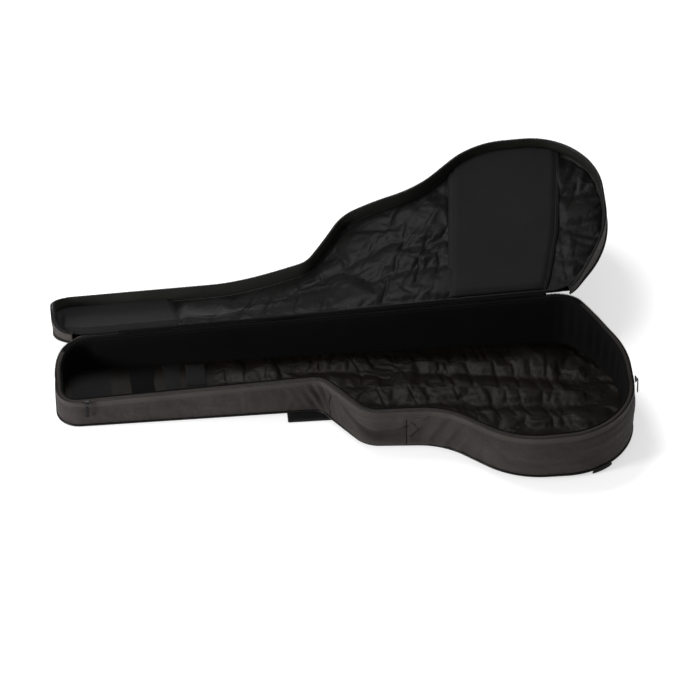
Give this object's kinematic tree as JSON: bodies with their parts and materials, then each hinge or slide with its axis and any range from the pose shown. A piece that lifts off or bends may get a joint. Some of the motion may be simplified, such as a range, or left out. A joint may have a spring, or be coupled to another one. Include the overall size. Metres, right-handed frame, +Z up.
{
  "type": "padded gig bag",
  "caption": "Padded soft case for an acoustic guitar, open on its back, with a folding zipped lid, carry handle and backpack straps.",
  "frame": {"origin": "middle of the tray's plan, on the underside that the bag lies on", "axes": "+X along the hinge side from head to tail, +Y towards the hinge side, +Z up"},
  "size_m": [1.1108, 0.7681, 0.2247],
  "materials": {
    "outer_cloth": "woven",
    "black_cloth": "matt",
    "satin_lining": "satin",
    "foam": "foam",
    "guard_cloth": "woven",
    "webbing": "woven webbing",
    "zip_tape": "woven tape",
    "zip_coil": "nylon coil",
    "zip_metal": "black lacquer",
    "buckle_plastic": "moulded",
    "rubber": "matt",
    "piping": "vinyl piping"
  },
  "bodies": {
    "tray": {"back_shell": "outer_cloth", "back_foam": "foam", "back_lining": "satin_lining", "side_shell": "outer_cloth", "side_foam": "foam", "side_lining": "black_cloth", "spine_shell": "outer_cloth", "spine_foam": "foam", "spine_lining": "black_cloth", "hinge_fabric": "black_cloth", "back_piping": "piping", "zip_tape_lower": "zip_tape", "zip_teeth_lower": "zip_coil", "head_floor_patch": "satin_lining", "nut_floor_patch": "black_cloth", "neck_floor_pad": "satin_lining", "neck_strap_base": "webbing", "tail_bumper": "rubber", "spine_bumper_head": "rubber", "spine_bumper_tail": "rubber", "neck_foot": "rubber", "handle_anchor_left": "black_cloth", "handle_anchor_right": "black_cloth", "strap_yoke": "black_cloth", "back_support_pad": "black_cloth"},
    "lid": {"lid_shell": "outer_cloth", "lid_foam": "foam", "lid_lining": "satin_lining", "lid_rim": "black_cloth", "lid_piping": "piping", "zip_tape_upper": "zip_tape", "zip_teeth_upper": "zip_coil", "bridge_guard": "guard_cloth", "pocket_panel": "outer_cloth", "pocket_zip_tape": "zip_tape", "pocket_zip_teeth": "zip_coil"},
    "lid_neck": {"neck_lid_shell": "outer_cloth", "neck_lid_foam": "foam", "neck_lid_lining": "satin_lining", "neck_rim": "black_cloth", "neck_lid_piping": "piping", "neck_zip_tape": "zip_tape", "neck_zip_teeth": "zip_coil", "headstock_guard": "guard_cloth"},
    "carry_handle": {"handle_grip": "black_cloth", "handle_web_left": "webbing", "handle_web_right": "webbing"},
    "tail_zip_slider": {"tail_zip_slider": "zip_metal"},
    "tail_zip_pull": {"tail_zip_pull": "zip_metal"},
    "head_zip_slider": {"head_zip_slider": "zip_metal"},
    "head_zip_pull": {"head_zip_pull": "zip_metal"},
    "pocket_zip_slider": {"pocket_zip_slider": "zip_metal"},
    "pocket_zip_pull": {"pocket_zip_pull": "zip_metal"},
    "neck_strap_flap": {"neck_strap_flap": "webbing"},
    "shoulder_strap_near": {"shoulder_strap_near": "black_cloth", "strap_buckle_near": "buckle_plastic", "strap_web_near": "webbing"},
    "shoulder_strap_far": {"shoulder_strap_far": "black_cloth", "strap_buckle_far": "buckle_plastic", "strap_web_far": "webbing"}
  },
  "joints": [
    {"name": "lid_fold", "type": "hinge", "parent": "tray", "child": "lid", "pos_m": [0, 0.195, 0.1206], "axis": [0.9991, 0, 0.0433], "range_deg": [0, 171]},
    {"name": "neck_lid_fold", "type": "hinge", "parent": "lid", "child": "lid_neck", "pos_m": [0, 0.195, 0.1206], "axis": [0.9991, 0, 0.0433], "range_deg": [0, 31]},
    {"name": "carry_handle_swing", "type": "hinge", "parent": "tray", "child": "carry_handle", "pos_m": [0.11, 0.1989, 0.08], "axis": [1, 0, 0], "range_deg": [0, 90]},
    {"name": "tail_slider_run", "type": "hinge", "parent": "tray", "child": "tail_zip_slider", "pos_m": [0.4, -0.045, 0.10992], "axis": [0.0433, 0, -0.9991], "range_deg": [0, 86]},
    {"name": "tail_pull_swing", "type": "hinge", "parent": "tail_zip_slider", "child": "tail_zip_pull", "pos_m": [0.5517, -0.045, 0.11707], "axis": [0, -1, 0], "range_deg": [0, 110]},
    {"name": "head_slider_run", "type": "slide", "parent": "tray", "child": "head_zip_slider", "axis": [0.999, 0.0099, 0.0433], "range_m": [0, 0.36]},
    {"name": "head_pull_swing", "type": "hinge", "parent": "head_zip_slider", "child": "head_zip_pull", "pos_m": [-0.4999, 0.02385, 0.07195], "axis": [-1, -0.0099, 0], "range_deg": [0, 110]},
    {"name": "pocket_slider_run", "type": "slide", "parent": "lid", "child": "pocket_zip_slider", "axis": [0.9991, 0, 0.0433], "range_m": [0, 0.162]},
    {"name": "pocket_pull_swing", "type": "hinge", "parent": "pocket_zip_slider", "child": "pocket_zip_pull", "pos_m": [0.27505, 0.35482, 0.12707], "axis": [-0.0068, 0.9877, 0.1563], "range_deg": [0, 160]},
    {"name": "neck_strap_flap_swing", "type": "hinge", "parent": "tray", "child": "neck_strap_flap", "pos_m": [-0.284, 0.169, 0.029], "axis": [-1, 0, 0], "range_deg": [0, 95]},
    {"name": "shoulder_strap_near_swing", "type": "hinge", "parent": "tray", "child": "shoulder_strap_near", "pos_m": [0.0435, -0.025, 0.001], "axis": [0, 1, 0], "range_deg": [0, 75]},
    {"name": "shoulder_strap_far_swing", "type": "hinge", "parent": "tray", "child": "shoulder_strap_far", "pos_m": [0.0435, 0.135, 0.001], "axis": [0, 1, 0], "range_deg": [0, 75]}
  ],
  "couplings": [
    {"joint": "neck_lid_fold", "follows": "lid_fold", "ratio": 0.18129}
  ]
}
